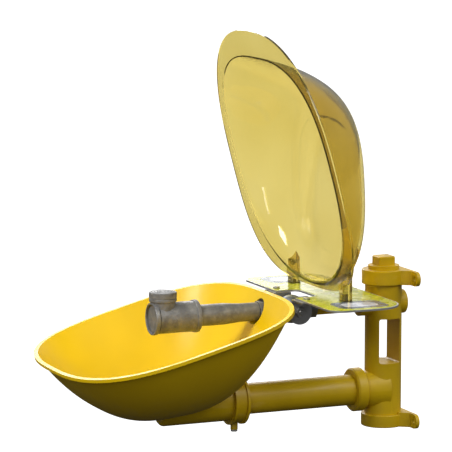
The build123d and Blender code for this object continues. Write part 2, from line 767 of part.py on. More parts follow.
# ---------------------------------------------------------------- spray head
with BuildPart() as head_pipe:
    profile_points = (
        (head_pipe_y, supply_pipe_radius),
        (head_pipe_y, head_neck_radius),
        (head_pipe_y - head_waist_reach, head_waist_radius),
        (head_pipe_y - head_taper_reach, head_body_radius),
        (head_pipe_end_y, head_body_radius),
        (head_pipe_end_y, supply_bore_radius),
        (nipple_front_y, supply_bore_radius),
        (nipple_front_y, supply_pipe_radius),
    )
    with BuildSketch(Plane(origin=(0, 0, supply_z), x_dir=(0, 1, 0), z_dir=(1, 0, 0))):
        with BuildLine():
            Polyline(*profile_points, close=True)
        make_face()
    revolve(axis=Axis((0, 0, supply_z), (0, 1, 0)))
export(head_pipe, "head_pipe")

outlet_top_z = supply_z + outlet_rise
with BuildPart() as head_tee:
    rod(facing_user(head_pipe_end_y), water, tee_radius, head_pipe_end_y - tee_front_y)
    rod(Plane.XY.offset(supply_z), (0, outlet_y), outlet_radius, outlet_rise)
    rod(facing_user(tee_front_y), water, tee_plug_radius + slip, outlet_radius, Mode.SUBTRACT)
    fillet(head_tee.faces().sort_by(Axis.Y)[-1].edges(), tee_round)
    rod(facing_user(head_pipe_end_y), water, tee_bore, head_pipe_end_y - tee_front_y, Mode.SUBTRACT)
    rod(Plane.XY.offset(supply_z), (0, outlet_y), tee_bore, outlet_rise, Mode.SUBTRACT)
export(head_tee, "head_tee")

with BuildPart() as tee_plug:
    rod(facing_user(tee_front_y), water, tee_plug_radius, tee_plug_thickness)
    fillet(tee_plug.faces().sort_by(Axis.Y)[0].edges(), edge_round)
    rod(facing_user(tee_front_y + tee_plug_thread), water, tee_bore, tee_plug_thread)
    rod(Plane.XY.offset(supply_z), (0, outlet_y), plug_relief_radius, outlet_rise, Mode.SUBTRACT)
export(tee_plug, "tee_plug")

thread_z = outlet_top_z - spray_thread_length
screen_z = outlet_top_z + spray_flange_height - spray_plate_thickness - screen_thickness
with BuildPart() as spray_body:
    rod(Plane.XY.offset(outlet_top_z), (0, outlet_y), spray_flange_radius, spray_flange_height)
    rod(Plane.XY.offset(thread_z), (0, outlet_y), tee_bore, spray_thread_length)
    rod(
        Plane.XY.offset(thread_z), (0, outlet_y), spray_passage_radius,
        spray_thread_length + spray_flange_height, Mode.SUBTRACT,
    )
    rod(
        Plane.XY.offset(screen_z), (0, outlet_y), spray_plate_radius,
        spray_plate_thickness + screen_thickness, Mode.SUBTRACT,
    )
    chamfer(spray_body.faces().sort_by(Axis.Z)[-1].edges(), spray_chamfer)
export(spray_body, "spray_body")

with BuildPart() as flow_regulator:
    rod(Plane.XY.offset(thread_z), (0, outlet_y), spray_passage_radius, regulator_thickness)
    with BuildSketch(Plane.XY.offset(thread_z)):
        with Locations((0, outlet_y)):
            with PolarLocations(regulator_ring, regulator_holes):
                Circle(regulator_hole_radius)
    extrude(amount=regulator_thickness, mode=Mode.SUBTRACT)
export(flow_regulator, "flow_regulator")

with BuildPart() as spray_screen:
    rod(Plane.XY.offset(screen_z), (0, outlet_y), spray_plate_radius, screen_thickness)
    with BuildSketch(Plane.XY.offset(screen_z)):
        with Locations((0, outlet_y)):
            with GridLocations(screen_pitch, screen_pitch, screen_count, screen_count):
                Rectangle(screen_hole, screen_hole)
    extrude(amount=screen_thickness, mode=Mode.SUBTRACT)
export(spray_screen, "spray_screen")

with BuildPart() as spray_plate:
    spray_plane = Plane.XY.offset(screen_z + screen_thickness)
    rod(spray_plane, (0, outlet_y), spray_plate_radius, spray_plate_thickness)
    with BuildSketch(spray_plane):
        with Locations((0, outlet_y)):
            for ring, count in spray_rings:
                with PolarLocations(ring, count):
                    Circle(spray_hole_radius)
    extrude(amount=spray_plate_thickness, mode=Mode.SUBTRACT)
export(spray_plate, "spray_plate")

# ---------------------------------------------------------------- cover
with BuildPart() as dome_outside:
    faces = [outline_face(*dome_station(share)) for share in dome_shares]
    loft(faces)

with BuildPart() as dome_inside:
    faces = []
    for share in dome_shares:
        faces.append(outline_face(*dome_station(share, cover_wall, cover_wall * share / dome_top)))
    loft(faces)

with BuildPart() as cover_shell:
    flange_points = rounded_outline(
        cover_half_width, cover_rear, cover_front, rear_power, cover_front_power
    )
    flange_plane = pitched(open_turn, bowl_centre, closed_rise)
    extrude(outline_face(flange_plane, flange_points), amount=cover_wall)
    add(dome_outside.part)
    add(dome_inside.part, mode=Mode.SUBTRACT)
export(cover_shell, "cover_shell")

# ---------------------------------------------------------------- sign plate and arms
plate_middle_y = hinge_y - plate_forward + plate_depth / 2
plate_z = supply_z + plate_rise


def plate_outline(inset):
    """The plate's outline, open in front around the water line."""
    front_y = hinge_y - plate_forward + inset
    with BuildSketch() as outline:
        with Locations((0, plate_middle_y)):
            Rectangle(2 * (plate_half_width - inset), plate_depth - 2 * inset)
        fillet(outline.vertices().group_by(Axis.Y)[-1], plate_rear_corner - inset)
        fillet(outline.vertices().group_by(Axis.Y)[0], plate_front_corner - inset)
        with Locations((0, front_y + (notch_depth - inset) / 2)):
            Rectangle(2 * (notch_half_width + inset), notch_depth + inset, mode=Mode.SUBTRACT)
        notch_corners = outline.vertices().filter_by(
            lambda vertex: abs(abs(vertex.X) - notch_half_width - inset) < 0.01
            and vertex.Y > front_y + plate_front_corner
        )
        fillet(notch_corners, notch_corner)
    return outline.sketch


with BuildPart() as sign_plate:
    with BuildSketch(Plane.XY.offset(plate_z)):
        add(plate_outline(0))
    extrude(amount=plate_thickness)
    with BuildSketch(Plane.XY.offset(plate_z)):
        with Locations((-arm_screw_x, hinge_y), (arm_screw_x, hinge_y)):
            Circle(screw_radius)
        with Locations((-foot_x, hinge_y + foot_back), (foot_x, hinge_y + foot_back)):
            Circle(screw_radius)
    extrude(amount=plate_thickness, mode=Mode.SUBTRACT)
export(sign_plate, "sign_plate")

with BuildPart() as sign_label:
    with BuildSketch(Plane.XY.offset(plate_z + plate_thickness)):
        add(plate_outline(label_inset))
        with Locations((-arm_screw_x, hinge_y), (arm_screw_x, hinge_y)):
            Circle(screw_head_radius + slip, mode=Mode.SUBTRACT)
        with Locations((-foot_x, hinge_y + foot_back), (foot_x, hinge_y + foot_back)):
            Rectangle(foot_width + 2 * slip, foot_depth + 2 * slip, mode=Mode.SUBTRACT)
    extrude(amount=label_thickness)
export(sign_label, "sign_label")

for name, side in (("near_arm", 1), ("far_arm", -1)):
    hole_radius = stem_radius if side > 0 else stem_radius + running
    with BuildPart() as arm:
        with BuildSketch(facing_side(side * arm_inside)):
            Circle(arm_hub_radius)
            with Locations((0, plate_rise / 2)):
                Rectangle(arm_width, plate_rise)
        extrude(amount=side * arm_thickness)
        with BuildSketch(Plane.XY.offset(plate_z)):
            with Locations((side * (arm_inside + arm_foot_length / 2), hinge_y)):
                Rectangle(arm_foot_length, arm_width)
        extrude(amount=-arm_thickness)
        rod(facing_side(0), on_axis, hole_radius, side * (arm_inside + 2 * arm_thickness), Mode.SUBTRACT)
        rod(
            Plane.XY.offset(plate_z), (side * arm_screw_x, hinge_y), screw_radius, -2 * arm_thickness,
            Mode.SUBTRACT,
        )
    export(arm, name)

with BuildPart() as arm_screws:
    for side in (1, -1):
        spot = (side * arm_screw_x, hinge_y)
        length = plate_thickness + arm_thickness + screw_nut_height
        rod(Plane.XY.offset(plate_z + plate_thickness), spot, screw_radius, -length)
        rod(Plane.XY.offset(plate_z + plate_thickness), spot, screw_head_radius, screw_head_height)
    fillet(arm_screws.faces().group_by(Axis.Z)[-1].edges(), head_round)
export(arm_screws, "arm_screws")

with BuildPart() as arm_nuts:
    for side in (1, -1):
        nut_plane = Plane.XY.offset(plate_z - arm_thickness)
        spot = (side * arm_screw_x, hinge_y)
        hexagon(nut_plane, spot, screw_flats, -screw_nut_height)
        rod(nut_plane, spot, screw_radius, -screw_nut_height, Mode.SUBTRACT)
export(arm_nuts, "arm_nuts")

with BuildPart() as cover_feet:
    for side in (1, -1):
        with BuildSketch(Plane.XY.offset(plate_z + plate_thickness)):
            with Locations((side * foot_x, hinge_y + foot_back)):
                RectangleRounded(foot_width, foot_depth, foot_corner)
        extrude(amount=foot_reach)
    add(dome_outside.part, mode=Mode.SUBTRACT)
    for side in (1, -1):
        spot = (side * foot_x, hinge_y + foot_back)
        rod(Plane.XY.offset(plate_z + plate_thickness), spot, screw_radius, foot_screw_depth, Mode.SUBTRACT)
export(cover_feet, "cover_feet")

with BuildPart() as foot_screws:
    for side in (1, -1):
        spot = (side * foot_x, hinge_y + foot_back)
        rod(Plane.XY.offset(plate_z), spot, screw_radius, plate_thickness + foot_screw_depth)
        rod(Plane.XY.offset(plate_z), spot, screw_head_radius, -screw_head_height)
export(foot_screws, "foot_screws")
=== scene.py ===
"""A wall-mounted eyewash station: cast post and drain, pitched bowl, spray head and clear cover."""

import json
import logging
import math
from abc import ABC, abstractmethod
from dataclasses import dataclass, field
from enum import Enum
from typing import Any, Union

import bpy
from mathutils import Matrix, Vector


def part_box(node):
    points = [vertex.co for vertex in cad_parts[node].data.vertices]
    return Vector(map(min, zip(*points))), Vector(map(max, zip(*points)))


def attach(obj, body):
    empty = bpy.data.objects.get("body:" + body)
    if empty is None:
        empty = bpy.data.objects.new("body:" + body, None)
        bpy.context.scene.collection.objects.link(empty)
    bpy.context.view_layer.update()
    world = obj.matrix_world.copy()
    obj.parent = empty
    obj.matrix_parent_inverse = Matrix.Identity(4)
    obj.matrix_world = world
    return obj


logging.basicConfig(level=logging.INFO, format="%(levelname)s %(message)s")
log = logging.getLogger("eyewash")

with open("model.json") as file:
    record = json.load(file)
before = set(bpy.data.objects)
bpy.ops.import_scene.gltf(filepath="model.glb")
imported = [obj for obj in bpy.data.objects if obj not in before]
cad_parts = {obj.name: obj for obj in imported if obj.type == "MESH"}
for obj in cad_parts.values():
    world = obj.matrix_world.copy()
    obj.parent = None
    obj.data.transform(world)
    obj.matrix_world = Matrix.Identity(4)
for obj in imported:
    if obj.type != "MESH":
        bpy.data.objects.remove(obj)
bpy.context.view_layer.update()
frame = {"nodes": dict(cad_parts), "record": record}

MM = 0.001
Number = Union[float, "Signal"]
Colour = tuple[float, float, float]


class Body(Enum):
    """The rigid bodies that pieces ride on."""

    STATION = "station"
    COVER = "cover"


class Signal:
    """A socket that carries a number, with the usual operators."""

    def __init__(self, graph: "Graph", socket: bpy.types.NodeSocket) -> None:
        """Wraps an output socket.

        Args:
            graph: The graph that the socket belongs to.
            socket: The socket itself.
        """
        self.graph = graph
        self.socket = socket

    def _join(self, operation: str, first: Number, second: Number) -> "Signal":
        """Adds one Math node and returns its result."""
        node = self.graph.node("ShaderNodeMath", {"operation": operation}, {0: first, 1: second})
        return Signal(self.graph, node.outputs[0])

    def __add__(self, other: Number) -> "Signal":
        """Returns the sum."""
        return self._join("ADD", self, other)

    def __sub__(self, other: Number) -> "Signal":
        """Returns the difference."""
        return self._join("SUBTRACT", self, other)

    def __rsub__(self, other: Number) -> "Signal":
        """Returns the reflected difference."""
        return self._join("SUBTRACT", other, self)

    def __mul__(self, other: Number) -> "Signal":
        """Returns the product."""
        return self._join("MULTIPLY", self, other)

    __radd__ = __add__
    __rmul__ = __mul__


class Graph:
    """The node tree of one material."""

    def __init__(self, name: str) -> None:
        """Starts an empty material.

        Args:
            name: The material's name.
        """
        self.material = bpy.data.materials.new(name)
        self.material.use_nodes = True
        self.tree = self.material.node_tree
        self.tree.nodes.clear()
        self.place = self.node("ShaderNodeTexCoord", {}, {}).outputs["Object"]

    def node(self, kind: str, settings: dict[str, Any], inputs: dict[Any, Any]) -> bpy.types.Node:
        """Adds a node, sets it up and joins it.

        Args:
            kind: The node's type.
            settings: Its properties; "stops" are a ramp's (place, colour) pairs.
            inputs: Values, sockets or signals by socket name or index.

        Returns:
            The new node.
        """
        made = self.tree.nodes.new(kind)
        for key, value in settings.items():
            if key == "stops":
                ramp = made.color_ramp
                for index, (place, colour) in enumerate(value):
                    stop = ramp.elements[index] if index < 2 else ramp.elements.new(place)
                    stop.position = place
                    stop.color = (*colour, 1.0)
            else:
                setattr(made, key, value)
        for key, value in inputs.items():
            if isinstance(value, Signal):
                self.tree.links.new(value.socket, made.inputs[key])
            elif isinstance(value, bpy.types.NodeSocket):
                self.tree.links.new(value, made.inputs[key])
            else:
                made.inputs[key].default_value = value
        return made

    def noise(self, scale: float, detail: float = 4.0, stretch: Colour = (1.0, 1.0, 1.0)) -> Signal:
        """Returns a noise between about 0.3 and 0.7.

        Args:
            scale: Cells to a metre.
            detail: Octaves.
            stretch: Scale along each axis.
        """
        place = self.node("ShaderNodeMapping", {}, {"Vector": self.place, "Scale": stretch})
        made = self.node(
            "ShaderNodeTexNoise", {}, {"Vector": place.outputs[0], "Scale": scale, "Detail": detail}
        )
        return Signal(self, made.outputs[0])

    def cells(self, scale: float) -> bpy.types.Node:
        """Returns a Voronoi node of that many cells to a metre."""
        return self.node(
            "ShaderNodeTexVoronoi", {"feature": "F1"}, {"Vector": self.place, "Scale": scale}
        )

    def band(
        self, value: Number, low: float, high: float, start: float = 0.0, end: float = 1.0
    ) -> Signal:
        """Maps a number from one range to another, held at both ends.

        Args:
            value: The number.
            low: Where the result is start.
            high: Where it is end.
            start: The result at low.
            end: The result at high.

        Returns:
            The mapped number.
        """
        made = self.node(
            "ShaderNodeMapRange", {"clamp": True}, {0: value, 1: low, 2: high, 3: start, 4: end}
        )
        return Signal(self, made.outputs[0])

    def blend(self, share: Number, first: Any, second: Any) -> bpy.types.NodeSocket:
        """Mixes two colours.

        Args:
            share: How much of the second.
            first: A colour or a socket.
            second: A colour or a socket.

        Returns:
            The mixed colour's socket.
        """
        pair = [(*item, 1.0) if isinstance(item, tuple) else item for item in (first, second)]
        made = self.node(
            "ShaderNodeMix", {"data_type": "RGBA"}, {0: share, 6: pair[0], 7: pair[1]}
        )
        return made.outputs[2]

    def axis(self, name: str) -> Signal:
        """Returns one coordinate, in metres."""
        made = self.node("ShaderNodeSeparateXYZ", {}, {"Vector": self.place})
        return Signal(self, made.outputs[name])

    def bump(self, height: Number, depth_mm: float, strength: float = 1.0) -> bpy.types.NodeSocket:
        """Returns a normal from a height.

        Args:
            height: The height, 0 to 1.
            depth_mm: How deep 1 is.
            strength: The node's strength.
        """
        inputs = {"Height": height, "Distance": depth_mm * MM, "Strength": strength}
        return self.node("ShaderNodeBump", {}, inputs).outputs[0]

    def surface(self, **inputs: Any) -> bpy.types.Material:
        """Adds the shader and the output.

        Args:
            inputs: Socket values or links, with underscores for spaces.

        Returns:
            The finished material.
        """
        named = {key.replace("_", " "): value for key, value in inputs.items()}
        shader = self.node("ShaderNodeBsdfPrincipled", {}, named)
        self.node("ShaderNodeOutputMaterial", {}, {"Surface": shader.outputs[0]})
        return self.material


class Finish(ABC):
    """A surface finish that can be put on pieces."""

    @abstractmethod
    def material(self) -> bpy.types.Material:
        """Returns the finish as a material."""


@dataclass(frozen=True)
class PowderCoat(Finish):
    """Baked powder paint on a casting: orange peel, soft sheen, dark dust specks all over."""

    name: str
    colour: Colour = (0.68, 0.45, 0.006)
    deep: Colour = (0.56, 0.36, 0.004)
    cast: float = 0.35

    def material(self) -> bpy.types.Material:
        """Returns the paint."""
        graph = Graph(self.name)
        drift = graph.band(graph.noise(14.0, 3.0), 0.35, 0.65)
        paint = graph.blend(drift, self.colour, self.deep)
        specks = graph.band(graph.noise(900.0, 2.0), 0.66, 0.72)
        paint = graph.blend(specks * 0.35, paint, (0.30, 0.17, 0.02))
        scuffs = graph.band(graph.noise(60.0, 6.0, (1.0, 0.25, 1.0)), 0.60, 0.70)
        paint = graph.blend(scuffs * 0.25, paint, (0.72, 0.50, 0.12))
        peel = graph.noise(420.0, 2.0) * 0.6 + graph.noise(90.0, 4.0) * self.cast
        rough = graph.band(graph.noise(35.0, 5.0), 0.35, 0.65, 0.30, 0.46) + scuffs * 0.15
        return graph.surface(
            Base_Color=paint,
            Roughness=rough,
            Normal=graph.bump(peel, 0.35, 0.5),
            Coat_Weight=0.12,
            Coat_Roughness=0.26,
            Specular_IOR_Level=0.3,
        )


@dataclass(frozen=True)
class MouldedPlastic(Finish):
    """Satin moulded plastic with faint flow marks and water marks below."""

    name: str
    colour: Colour = (0.80, 0.53, 0.004)
    deep: Colour = (0.72, 0.47, 0.003)

    def material(self) -> bpy.types.Material:
        """Returns the plastic."""
        graph = Graph(self.name)
        flow = graph.band(graph.noise(9.0, 2.0, (1.0, 1.0, 0.5)), 0.35, 0.65)
        shade = graph.blend(flow, self.colour, self.deep)
        low = graph.band(graph.axis("Z"), -0.02, -0.07)
        marks = graph.band(graph.noise(45.0, 5.0), 0.52, 0.62) * low
        shade = graph.blend(marks * 0.3, shade, (0.55, 0.40, 0.12))
        fine = graph.noise(1400.0, 1.0) * 0.5 + graph.noise(26.0, 3.0) * 0.8
        scratches = graph.band(graph.noise(160.0, 4.0, (1.0, 0.08, 1.0)), 0.62, 0.70)
        return graph.surface(
            Base_Color=shade,
            Roughness=graph.band(graph.noise(40.0, 4.0), 0.35, 0.65, 0.34, 0.44) + scratches * 0.12,
            Normal=graph.bump(fine, 0.25, 0.35),
            Coat_Weight=0.08,
            Coat_Roughness=0.25,
            Specular_IOR_Level=0.3,
        )


@dataclass(frozen=True)
class ClearPlastic(Finish):
    """Clear tinted plastic, with faint drawing marks from the mould."""

    name: str
    tint: Colour = (0.66, 0.54, 0.16)
    edge: Colour = (0.60, 0.475, 0.115)

    def material(self) -> bpy.types.Material:
        """Returns the clear plastic."""
        graph = Graph(self.name)
        drift = graph.band(graph.noise(6.0, 2.0), 0.35, 0.65)
        wave = graph.noise(7.0, 1.0, (1.0, 1.0, 0.4)) * 0.5 + graph.noise(700.0, 2.0) * 0.01
        scuffs = graph.band(graph.noise(120.0, 5.0, (1.0, 1.0, 0.12)), 0.63, 0.72)
        return graph.surface(
            Base_Color=graph.blend(drift, self.tint, self.edge),
            Roughness=graph.band(graph.noise(30.0, 4.0), 0.35, 0.65, 0.03, 0.07) + scuffs * 0.10,
            Normal=graph.bump(wave, 0.3, 0.1),
            Transmission_Weight=0.96,
            IOR=1.3,
            Coat_Weight=0.3,
            Coat_Roughness=0.04,
        )


@dataclass(frozen=True)
class Galvanised(Finish):
    """Hot-dipped iron: mottled spangles, and a cast skin where it is a fitting."""

    name: str
    light: Colour = (0.24, 0.24, 0.235)
    dark: Colour = (0.115, 0.115, 0.115)
    skin: float = 0.3
    spangle: float = 160.0

    def material(self) -> bpy.types.Material:
        """Returns the galvanised metal."""
        graph = Graph(self.name)
        spangle = graph.cells(self.spangle)
        tone = Signal(graph, graph.node(
            "ShaderNodeSeparateColor", {}, {0: spangle.outputs["Color"]}
        ).outputs[0])
        cloud = graph.band(graph.noise(70.0, 6.0), 0.38, 0.62)
        share = tone * 0.35 + cloud * 0.65
        metal = graph.blend(share, self.light, self.dark)
        white_rust = graph.band(graph.noise(210.0, 5.0), 0.60, 0.70)
        metal = graph.blend(white_rust * 0.3, metal, (0.36, 0.36, 0.35))
        skin = graph.noise(260.0, 6.0) * self.skin + graph.noise(55.0, 4.0) * self.skin
        return graph.surface(
            Base_Color=metal,
            Metallic=graph.band(share, 0.2, 0.9, 0.45, 0.2),
            Roughness=graph.band(cloud, 0.0, 1.0, 0.46, 0.62) + white_rust * 0.12,
            Normal=graph.bump(skin + tone * 0.05, 1.2, 0.8),
        )


@dataclass(frozen=True)
class TurnedMetal(Finish):
    """Turned or rolled metal with fine tool marks."""

    name: str
    colour: Colour = (0.52, 0.52, 0.51)
    stain: Colour = (0.25, 0.24, 0.22)
    roughness: float = 0.28
    grain: Colour = (1.0, 1.0, 1.0)

    def material(self) -> bpy.types.Material:
        """Returns the metal."""
        graph = Graph(self.name)
        lines = graph.noise(900.0, 3.0, self.grain)
        cloud = graph.band(graph.noise(40.0, 5.0), 0.40, 0.66)
        rough = graph.band(lines, 0.3, 0.7, self.roughness, self.roughness + 0.16)
        return graph.surface(
            Base_Color=graph.blend(cloud * 0.6, self.colour, self.stain),
            Metallic=0.95,
            Roughness=rough + cloud * 0.1,
            Normal=graph.bump(lines * 0.6 + graph.noise(120.0, 3.0) * 0.4, 0.12, 0.6),
        )


@dataclass(frozen=True)
class SoftRubber(Finish):
    """Matt moulded rubber or packing."""

    name: str
    colour: Colour = (0.018, 0.018, 0.019)
    bloom: Colour = (0.06, 0.06, 0.062)

    def material(self) -> bpy.types.Material:
        """Returns the rubber."""
        graph = Graph(self.name)
        bloom = graph.band(graph.noise(120.0, 5.0), 0.45, 0.70)
        return graph.surface(
            Base_Color=graph.blend(bloom, self.colour, self.bloom),
            Roughness=graph.band(bloom, 0.0, 1.0, 0.55, 0.8),
            Normal=graph.bump(graph.noise(1500.0, 2.0), 0.1, 0.5),
        )


@dataclass(frozen=True)
class PrintedFilm(Finish):
    """Printed film stuck to a plate: ink, a clear top and fine dust."""

    name: str
    ink: Colour = (0.60, 0.62, 0.012)
    faded: Colour = (0.52, 0.55, 0.03)

    def material(self) -> bpy.types.Material:
        """Returns the film."""
        graph = Graph(self.name)
        fade = graph.band(graph.noise(18.0, 4.0), 0.40, 0.65)
        dust = graph.band(graph.noise(600.0, 3.0), 0.62, 0.70)
        ink = graph.blend(fade, self.ink, self.faded)
        return graph.surface(
            Base_Color=graph.blend(dust * 0.3, ink, (0.55, 0.55, 0.50)),
            Roughness=graph.band(graph.noise(70.0, 4.0), 0.35, 0.65, 0.16, 0.34),
            Normal=graph.bump(graph.noise(30.0, 2.0), 0.15, 0.3),
            Coat_Weight=0.2,
            Coat_Roughness=0.12,
        )


@dataclass
class Bench:
    """Where new pieces are made and finished."""

    finishes: dict[str, bpy.types.Material]
    sharp: float = 35.0
    weight: int = 80
    merge: float = 1e-6
    facets: int = 96
    edge_segments: int = 3
    corner_segments: int = 8

    def clear(self) -> None:
        """Deselects everything."""
        if bpy.context.object and bpy.context.object.mode != "OBJECT":
            bpy.ops.object.mode_set(mode="OBJECT")
        bpy.ops.object.select_all(action="DESELECT")

    def apply(self, piece: bpy.types.Object) -> None:
        """Applies the piece's modifiers in order."""
        for modifier in list(piece.modifiers):
            bpy.ops.object.modifier_apply(modifier=modifier.name)

    def close(self, name: str, body: Body, slot: str, finish: str) -> None:
        """Finishes the active piece: place, normals, smoothing, finish and body.

        Args:
            name: The piece's name.
            body: The body it rides on.
            slot: The record's material slot; not used.
            finish: The finish it wears.
        """
        piece = bpy.context.object
        bpy.ops.object.transform_apply(location=True, rotation=True, scale=True)
        self.apply(piece)
        bpy.ops.object.mode_set(mode="EDIT")
        bpy.ops.mesh.select_all(action="SELECT")
        bpy.ops.mesh.remove_doubles(threshold=self.merge)
        bpy.ops.mesh.normals_make_consistent(inside=False)
        bpy.ops.object.mode_set(mode="OBJECT")
        bpy.ops.object.shade_smooth_by_angle(angle=math.radians(self.sharp))
        even = piece.modifiers.new("even", "WEIGHTED_NORMAL")
        even.keep_sharp = True
        even.weight = self.weight
        self.apply(piece)
        piece.name = name
        piece.data.name = name
        piece.data.materials.clear()
        piece.data.materials.append(self.finishes[finish])
        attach(piece, body.value)
        log.info("piece %s on %s", name, body.value)

    def hoop(
        self, centre: Vector, along: str, radius: float, width: float, wall: float, soften: float
    ) -> None:
        """Starts a hoop from a circle: extruded, thickened and softened.

        Args:
            centre: Its middle.
            along: The axis it runs about, "Y" or "Z".
            radius: Outside radius.
            width: Length along the axis.
            wall: Thickness.
            soften: Width of the softened edges.
        """
        self.clear()
        step = Vector((0.0, width, 0.0)) if along == "Y" else Vector((0.0, 0.0, width))
        turn = (math.pi / 2, 0.0, 0.0) if along == "Y" else (0.0, 0.0, 0.0)
        bpy.ops.mesh.primitive_circle_add(
            vertices=self.facets, radius=radius - wall / 2, fill_type="NOTHING",
            location=centre - step / 2, rotation=turn,
        )
        bpy.ops.object.mode_set(mode="EDIT")
        bpy.ops.mesh.select_all(action="SELECT")
        bpy.ops.mesh.extrude_region_move(TRANSFORM_OT_translate={"value": step})
        bpy.ops.object.mode_set(mode="OBJECT")
        piece = bpy.context.object
        solid = piece.modifiers.new("wall", "SOLIDIFY")
        solid.thickness = wall
        solid.offset = 0.0
        soft = piece.modifiers.new("edge", "BEVEL")
        soft.width = soften
        soft.segments = self.edge_segments
        soft.limit_method = "ANGLE"

    def sheet_shape(
        self, centre: Vector, size: tuple[float, float], corner: float, rise: float
    ) -> None:
        """Starts a thin rounded panel that lies flat.

        Args:
            centre: The middle of its underside.
            size: Length along X and Y.
            corner: Corner radius.
            rise: Thickness.
        """
        self.clear()
        bpy.ops.mesh.primitive_plane_add(size=1.0, location=centre)
        bpy.ops.transform.resize(value=(size[0], size[1], 1.0))
        bpy.ops.object.transform_apply(location=False, rotation=False, scale=True)
        bpy.ops.object.mode_set(mode="EDIT")
        bpy.ops.mesh.select_all(action="SELECT")
        bpy.ops.mesh.bevel(offset=corner, segments=self.corner_segments, affect="VERTICES")
        bpy.ops.mesh.select_all(action="SELECT")
        bpy.ops.mesh.extrude_region_move(TRANSFORM_OT_translate={"value": (0.0, 0.0, rise)})
        bpy.ops.object.mode_set(mode="OBJECT")


@dataclass
class SprayHead:
    """The head's fitting: its raised bands and the turn of thread that shows."""

    bench: Bench
    axis_z: float = 62.0 * MM
    tee_radius: float = 20.7 * MM
    band_rise: float = 1.3 * MM
    band_width: float = 6.0 * MM
    band_root: float = 1.0 * MM
    band_soften: float = 0.9 * MM
    outlet_radius: float = 18.6 * MM
    outlet_width: float = 4.4 * MM
    outlet_wall: float = 2.4 * MM
    outlet_drop: float = 2.6 * MM
    thread_radius: float = 10.65 * MM
    thread_pitch: float = 1.8 * MM
    thread_depth: float = 0.75 * MM
    thread_gap: float = 1.0 * MM
    thread_steps: int = 48

    def bands(self) -> None:
        """Makes the raised bands at the ends of the tee and of its outlet."""
        low, high = (Vector(corner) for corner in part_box("head_tee"))
        inset = self.band_width / 2
        for name, y in (("tee_band_rear", high.y - inset), ("tee_band_front", low.y + inset)):
            self.bench.hoop(
                Vector((0.0, y, self.axis_z)), "Y", self.tee_radius + self.band_rise,
                self.band_width, self.band_rise + self.band_root, self.band_soften,
            )
            self.bench.close(name, Body.STATION, "galvanised", "casting")
        body_low, body_high = (Vector(corner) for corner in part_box("spray_body"))
        middle = (body_low + body_high) / 2
        self.bench.hoop(
            Vector((middle.x, middle.y, high.z - self.outlet_drop)), "Z", self.outlet_radius,
            self.outlet_width, self.outlet_wall, self.band_soften,
        )
        self.bench.close("outlet_band", Body.STATION, "galvanised", "casting")

    def thread(self) -> None:
        """Makes as many turns of thread as fit between the valve and the lock nut."""
        valve_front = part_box("valve_body")[0][1]
        nut_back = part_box("outer_lock_nut")[1][1]
        length = valve_front - nut_back - 2.0 * self.thread_gap
        self.bench.clear()
        bpy.ops.mesh.primitive_circle_add(
            vertices=3, radius=self.thread_depth, fill_type="NOTHING",
            location=(0.0, nut_back + self.thread_gap, self.axis_z),
        )
        bpy.ops.object.mode_set(mode="EDIT")
        bpy.ops.mesh.select_all(action="SELECT")
        bpy.ops.transform.translate(value=(self.thread_radius, 0.0, 0.0))
        bpy.ops.object.mode_set(mode="OBJECT")
        screw = bpy.context.object.modifiers.new("turns", "SCREW")
        screw.axis = "Y"
        screw.screw_offset = self.thread_pitch
        screw.iterations = max(1, int(length / self.thread_pitch))
        screw.steps = self.thread_steps
        screw.render_steps = self.thread_steps
        self.bench.apply(bpy.context.object)
        bpy.ops.object.mode_set(mode="EDIT")
        bpy.ops.mesh.select_all(action="SELECT")
        bpy.ops.mesh.fill_holes(sides=0)
        bpy.ops.object.mode_set(mode="OBJECT")
        self.bench.close("thread_turns", Body.STATION, "galvanised", "pipe")


@dataclass
class SignPlate:
    """The plain printed panels on the plate's film."""

    bench: Bench
    rise: float = 0.15 * MM
    side: float = 116.0 * MM
    panel: tuple[float, float] = (52.0 * MM, 72.0 * MM)
    panel_corner: float = 14.0 * MM
    shape: tuple[float, float] = (30.0 * MM, 50.0 * MM)
    shape_corner: float = 12.0 * MM

    def panels(self) -> None:
        """Makes a plain panel on each side, with a plain rounded shape on it."""
        low, high = (Vector(corner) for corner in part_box("sign_label"))
        middle = (low.y + high.y) / 2
        lift = Vector((0.0, 0.0, self.rise))
        for name, side in (("near", 1.0), ("far", -1.0)):
            centre = Vector((side * self.side, middle, high.z))
            self.bench.sheet_shape(centre, self.panel, self.panel_corner, self.rise)
            self.bench.close(f"{name}_panel", Body.COVER, "label", "panel_ink")
            self.bench.sheet_shape(centre + lift, self.shape, self.shape_corner, self.rise)
            self.bench.close(f"{name}_shape", Body.COVER, "label", "white_ink")


@dataclass
class Coats:
    """The finishes on the frame's own nodes."""

    bench: Bench
    cast: tuple[str, ...] = ("head_tee", "tee_plug", "spray_body")

    def make(self) -> None:
        """Puts the finish of its own kind on each node."""
        slots = {part["node"]: part["material_slot"] for part in frame["record"]["subparts"]}
        for node, slot in slots.items():
            finish = "casting" if node in self.cast else slot
            for place in frame["nodes"][node].material_slots:
                place.material = self.bench.finishes[finish]


